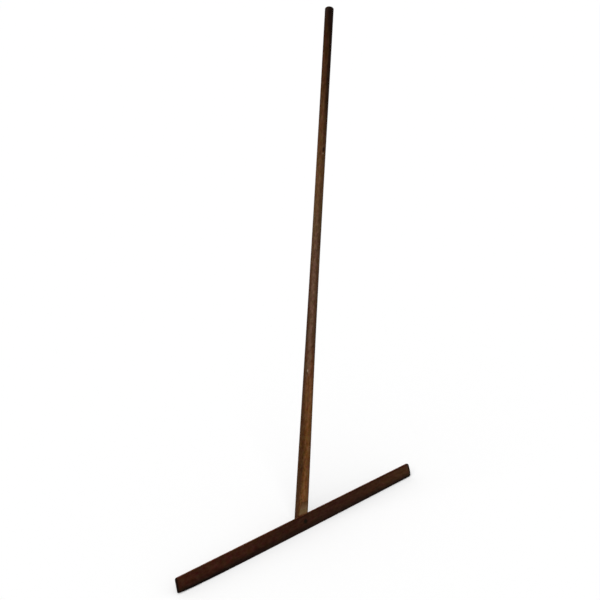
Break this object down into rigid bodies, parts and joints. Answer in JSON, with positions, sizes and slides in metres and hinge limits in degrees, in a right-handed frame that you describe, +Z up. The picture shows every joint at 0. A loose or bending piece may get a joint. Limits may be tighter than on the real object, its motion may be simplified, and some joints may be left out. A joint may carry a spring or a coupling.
{
  "type": "sand green rake",
  "caption": "Wooden rake for smoothing a sand green: a long tapered round handle notched over a thin flat head board and held by a countersunk screw.",
  "frame": {"origin": "under the middle of the rake's bounding box, level with the lowest point of the head board's working edge", "axes": "+Z up along the straight handle from head to grip, X along the head board, and the board's open face, with the screw, looks towards -Y and a little upwards"},
  "size_m": [0.9696, 0.0474, 1.5314],
  "materials": {
    "oiled_ash": "hand-worn oil, satin",
    "dark_oiled_hardwood": "dark oil stain, satin",
    "browned_iron": "browned, slightly rusted"
  },
  "bodies": {
    "root": {"handle": "oiled_ash", "head_board": "dark_oiled_hardwood", "fixing_screw": "browned_iron"}
  },
  "joints": []
}
